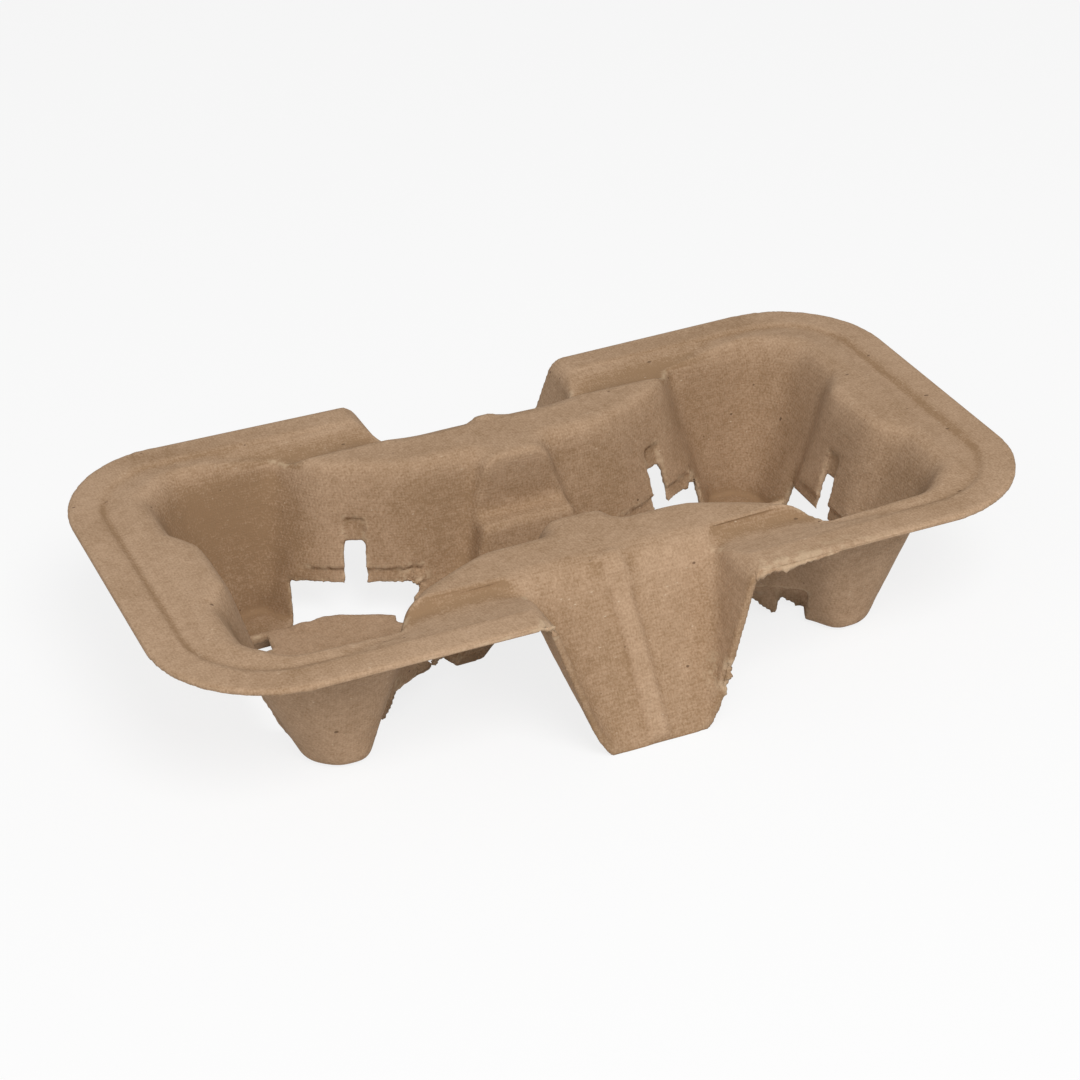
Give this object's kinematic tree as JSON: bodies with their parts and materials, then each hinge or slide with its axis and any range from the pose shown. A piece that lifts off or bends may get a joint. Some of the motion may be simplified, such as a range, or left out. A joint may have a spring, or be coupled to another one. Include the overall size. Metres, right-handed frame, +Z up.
{
  "type": "cup carrier tray",
  "caption": "Moulded pulp carrier tray with petal-walled cup wells side by side, a saddle between them, corner legs and flared middle legs.",
  "frame": {"origin": "centre of the tray at the level it stands on", "axes": "+X along the tray through both cups, +Y across it, +Z up"},
  "size_m": [0.215, 0.1146, 0.04],
  "materials": {
    "pulp": "matte moulded paper fibre"
  },
  "bodies": {
    "root": {"carrier_tray": "pulp"}
  },
  "joints": []
}
